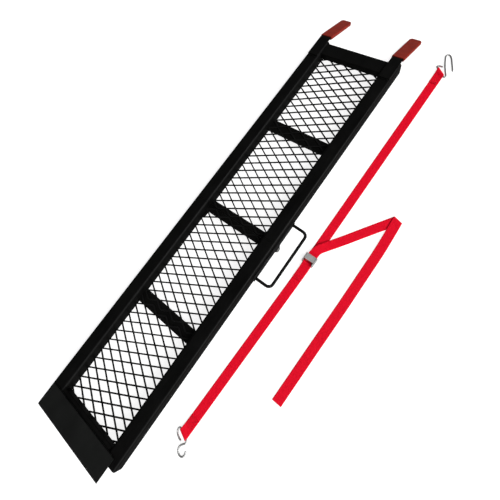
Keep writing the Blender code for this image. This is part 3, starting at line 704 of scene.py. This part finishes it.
# The tail is folded over flat on a slanting crease, and its last leg lies on the ground.
fold_half = crease * WEB_WIDTH / 2 / abs(crease.dot(rightward(leg)))
if fold_half.dot(rightward(leg)) < 0:
    fold_half = -fold_half
if away.dot(leg) < 0:
    away = -away
fold_radius = (OVERLAP_Z - WEB_Z) / 2
for step in range(7):
    turn = math.radians(-90 + 30 * step)
    middle = TAIL_FOLD + away * fold_radius * math.cos(turn)
    middle.z = WEB_Z + fold_radius + fold_radius * math.sin(turn)
    long_rows.append((middle + fold_half, middle - fold_half))
last_leg = heading(TAIL_FOLD, TAIL_END)
last_half = rightward(last_leg) * WEB_WIDTH / 2
last_length = (TAIL_END - TAIL_FOLD).length
for distance, height, bow in (
    (18 * MM, OVERLAP_Z, 1.0 * MM),
    (60 * MM, OVERLAP_Z, 3.0 * MM),
    (95 * MM, (OVERLAP_Z + WEB_Z) / 2 + 0.4 * MM, 4.3 * MM),
    (125 * MM, WEB_Z, 4.6 * MM),
    (last_length / 2, WEB_Z, 4.0 * MM),
    (last_length * 0.72, WEB_Z, 1.8 * MM),
    (last_length, WEB_Z, 0.0),
):
    middle = TAIL_FOLD + last_leg * distance - rightward(last_leg) * bow
    middle.z = height
    long_rows.append((middle - last_half, middle + last_half))

# ------------------------------------------------------------ webbing pieces

ROW_STEP = 1.8 * MM
LONGEST_GAP = 8 * MM
RIBS = 24
RIB_DEPTH = 0.10 * MM
WEAVE_DEPTH = 0.07 * MM
# The strip thins over its last millimetre or so on each side, to a rounded selvedge.
EDGE_SHARE = 0.55
EDGE_BAND = 1.2 * MM
PLAIN_BAND = 1.0 * MM
LEAST_HALF = 0.3 * MM


def row_gap(first, second):
    """Distance between the middle points of two rows."""
    return ((first[0] + first[1]) - (second[0] + second[1])).length / 2


def mix(first, second, share):
    return tuple(a.lerp(b, share) for a, b in zip(first, second))


def eased(rows, rounds=2):
    """Rows with long gaps filled and corners cut, so that the strip bends softly."""
    filled = [rows[0]]
    for row in rows[1:]:
        before = filled[-1]
        pieces = max(1, math.ceil(row_gap(before, row) / LONGEST_GAP))
        filled += [mix(before, row, k / pieces) for k in range(1, pieces + 1)]
    for _ in range(rounds):
        cut = [filled[0]]
        for first, second in zip(filled, filled[1:]):
            cut += [mix(first, second, 0.25), mix(first, second, 0.75)]
        filled = [*cut, filled[-1]]
    return filled


def even(rows, step):
    """Rows resampled at equal steps along the middle line, and the line's length."""
    reach = [0.0]
    for first, second in zip(rows, rows[1:]):
        reach.append(reach[-1] + row_gap(first, second))
    count = round(reach[-1] / step)
    result = []
    k = 0
    for index in range(count + 1):
        target = reach[-1] * index / count
        while k < len(rows) - 2 and reach[k + 1] < target:
            k += 1
        span = reach[k + 1] - reach[k]
        share = (target - reach[k]) / span if span > 1e-9 else 0.0
        result.append(mix(rows[k], rows[k + 1], min(max(share, 0), 1)))
    return result, reach[-1]


def webbing(name, rows):
    """Strip with ribs along it, a woven relief and thinner, rounded selvedges."""
    rows, length = even(eased(rows), ROW_STEP)
    bm = bmesh.new()
    uv = bm.loops.layers.uv.new("strip")
    rings = []
    half = WEB_THICKNESS / 2
    for i, (left, right) in enumerate(rows):
        before = rows[max(i - 1, 0)]
        after = rows[min(i + 1, len(rows) - 1)]
        forward = ((after[0] + after[1]) - (before[0] + before[1])).normalized()
        normal = (right - left).normalized().cross(forward).normalized()
        sides = []
        for face in (1, -1):
            line = []
            for j in range(RIBS + 1):
                share = j / RIBS
                edge = min(share, 1 - share) * WEB_WIDTH
                thin = EDGE_SHARE + (1 - EDGE_SHARE) * min(1.0, edge / EDGE_BAND) ** 0.5
                sink = RIB_DEPTH * (j % 2) + WEAVE_DEPTH * ((i + j // 2) % 2)
                height = max(half * thin - sink * min(1.0, edge / PLAIN_BAND), LEAST_HALF)
                line.append(left.lerp(right, share) + normal * (face * height))
            sides.append(line if face == 1 else line[::-1])
        rings.append([bm.verts.new(p) for p in sides[0] + sides[1]])
    around = len(rings[0])
    for i, (first, second) in enumerate(zip(rings, rings[1:])):
        for k in range(around):
            after = (k + 1) % around
            face = bm.faces.new((first[k], first[after], second[after], second[k]))
            for loop in face.loops:
                index = k if loop.vert in (first[k], second[k]) else after
                ring = i if loop.vert in (first[k], first[after]) else i + 1
                place = index if index <= RIBS else 2 * RIBS + 1 - index
                loop[uv].uv = (place / RIBS * WEB_WIDTH, ring * ROW_STEP)
    bm.faces.new(rings[0][::-1])
    bm.faces.new(rings[-1])
    bmesh.ops.recalc_face_normals(bm, faces=bm.faces)
    made = piece(name, bm, WEBBING, "lower_frame")
    return made, length


def stitches(name, start, forward, skew, first, last, height):
    """A sewn box with a cross in it, and a second row across each end."""
    bm = bmesh.new()
    edge, stitch_pitch, second_row = 9.8 * MM, 2.6 * MM, 1.4 * MM
    radii = [r * MM for r in (0.12, 0.26, 0.3, 0.26, 0.12)]
    box = [(first, -edge), (first, edge), (last, edge), (last, -edge), (first, -edge)]
    runs = list(zip(box, box[1:]))
    runs += [(box[0], box[2]), (box[1], box[3])]
    for offset in (second_row, -second_row):
        runs.append(((first - offset, -edge), (first - offset, edge)))
        runs.append(((last - offset, -edge), (last - offset, edge)))
    for begin, finish in runs:
        length = math.hypot(finish[0] - begin[0], finish[1] - begin[1])
        count = max(2, round(length / stitch_pitch))
        for k in range(count):
            ends = []
            for share in ((k + 0.14) / count, (k + 0.86) / count):
                distance = begin[0] + (finish[0] - begin[0]) * share
                across = begin[1] + (finish[1] - begin[1]) * share
                ends.append(run_point(start, forward, skew, distance, across, height))
            along = (ends[1] - ends[0]).normalized()
            line = [ends[0].lerp(ends[1], share) for share in (0, 0.2, 0.5, 0.8, 1)]
            tube(bm, line, radii, along.cross(Z), Z, sides=6)
    return piece(name, bm, THREAD, "lower_frame")


STITCH_Z = OVERLAP_Z + WEB_THICKNESS / 2
LAP = (25 * MM, 44 * MM)
BUCKLE_LAP = (short_length - 52 * MM, short_length - 33 * MM)
short_strip, short_flat = webbing("webbing_short", short_rows)
long_strip, long_flat = webbing("webbing_long", long_rows)
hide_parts("web_short")
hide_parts("web_long")
foot_stitch = stitches("stitching_foot", LOW_BAR, short_run, LOW_SKEW, *LAP, STITCH_Z)
buckle_stitch = stitches("stitching_buckle", LOW_BAR, short_run, 0.0, *BUCKLE_LAP, STITCH_Z)
head_stitch = stitches("stitching_head", HIGH_BAR, long_run, HIGH_SKEW, *LAP, STITCH_Z)
